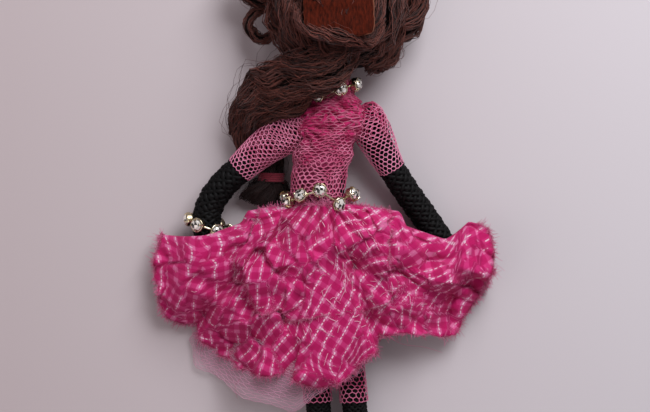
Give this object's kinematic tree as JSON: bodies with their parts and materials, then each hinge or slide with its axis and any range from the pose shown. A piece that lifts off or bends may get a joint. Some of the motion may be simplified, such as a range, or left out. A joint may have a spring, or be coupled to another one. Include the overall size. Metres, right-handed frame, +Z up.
{
  "type": "knotted rag doll",
  "caption": "Small knotted cloth doll lying face down: cord arms and legs, net bodice and sleeves, gingham skirt over tulle, wool hair, and cup-chain belt, necklace and bracelet.",
  "frame": {"origin": "point on the table under the middle of the skirt, on the flat underside of the overskirt", "axes": "+X towards the doll's right hand seen from behind, +Y from the feet to the head, +Z up from the table out of the doll's back"},
  "size_m": [0.0853, 0.1338, 0.0307],
  "materials": {
    "black_cloth": "matt knit",
    "black_cord": "braided",
    "stuffing": "loose fibre",
    "pink_net": "open net",
    "gingham": "checked weave with metal thread",
    "tulle": "sheer net",
    "wool_hair": "loose wool strands",
    "hair_band": "elastic",
    "leather_patch": "suede",
    "thread": "twisted",
    "silver_setting": "polished",
    "crystal": "cut and foiled"
  },
  "bodies": {
    "torso": {"torso_core": "black_cloth", "bodice": "pink_net", "neck_tie": "thread", "waist_tie": "thread", "overskirt": "gingham", "petticoat": "tulle", "belt_chain": "silver_setting", "necklace_chain": "silver_setting", "belt_stone_1": "crystal", "belt_stone_2": "crystal", "belt_stone_3": "crystal", "belt_stone_4": "crystal", "belt_stone_5": "crystal", "belt_stone_6": "crystal", "belt_stone_7": "crystal", "belt_stone_8": "crystal", "belt_stone_9": "crystal", "belt_stone_10": "crystal", "belt_stone_11": "crystal", "necklace_stone_1": "crystal", "necklace_stone_2": "crystal", "necklace_stone_3": "crystal", "necklace_stone_4": "crystal", "necklace_stone_5": "crystal", "necklace_stone_6": "crystal"},
    "head": {"head_stuffing": "stuffing", "head_cover": "black_cloth", "hair_cap": "wool_hair", "left_lock": "wool_hair", "right_lock": "wool_hair", "left_curl": "wool_hair", "ponytail": "wool_hair", "ponytail_band": "hair_band", "back_patch": "leather_patch"},
    "left_arm": {"left_arm": "black_cord", "left_sleeve": "pink_net"},
    "right_arm": {"right_arm": "black_cord", "right_sleeve": "pink_net"},
    "left_leg": {"left_leg": "black_cord", "left_stocking": "pink_net"},
    "right_leg": {"right_leg": "black_cord", "right_stocking": "pink_net"},
    "bracelet": {"bracelet_chain": "silver_setting", "bracelet_stone_1": "crystal", "bracelet_stone_2": "crystal", "bracelet_stone_3": "crystal", "bracelet_stone_4": "crystal", "bracelet_stone_5": "crystal", "bracelet_stone_6": "crystal"}
  },
  "joints": [
    {"name": "neck_tilt", "type": "hinge", "parent": "torso", "child": "head", "pos_m": [0.004, 0.058, 0.0112], "axis": [0, 0, 1], "range_deg": [-15, 15], "deforming": ["ponytail", "ponytail_band"]},
    {"name": "left_shoulder", "type": "hinge", "parent": "torso", "child": "left_arm", "pos_m": [-0.00568, 0.0437, 0.0096], "axis": [0, 0, 1], "range_deg": [-40, 0]},
    {"name": "right_shoulder", "type": "hinge", "parent": "torso", "child": "right_arm", "pos_m": [0.01058, 0.0459, 0.0096], "axis": [0, 0, 1], "range_deg": [0, 40]},
    {"name": "left_hip", "type": "hinge", "parent": "torso", "child": "left_leg", "pos_m": [-0.00385, 0.0162, 0.00815], "axis": [0, 0, 1], "range_deg": [-15, 0]},
    {"name": "right_hip", "type": "hinge", "parent": "torso", "child": "right_leg", "pos_m": [0.00385, 0.0162, 0.00815], "axis": [0, 0, 1], "range_deg": [0, 15]},
    {"name": "bracelet_turn", "type": "hinge", "parent": "left_arm", "child": "bracelet", "pos_m": [-0.02868, 0.0189, 0.0061], "axis": [0, 1, 0], "continuous": true}
  ]
}
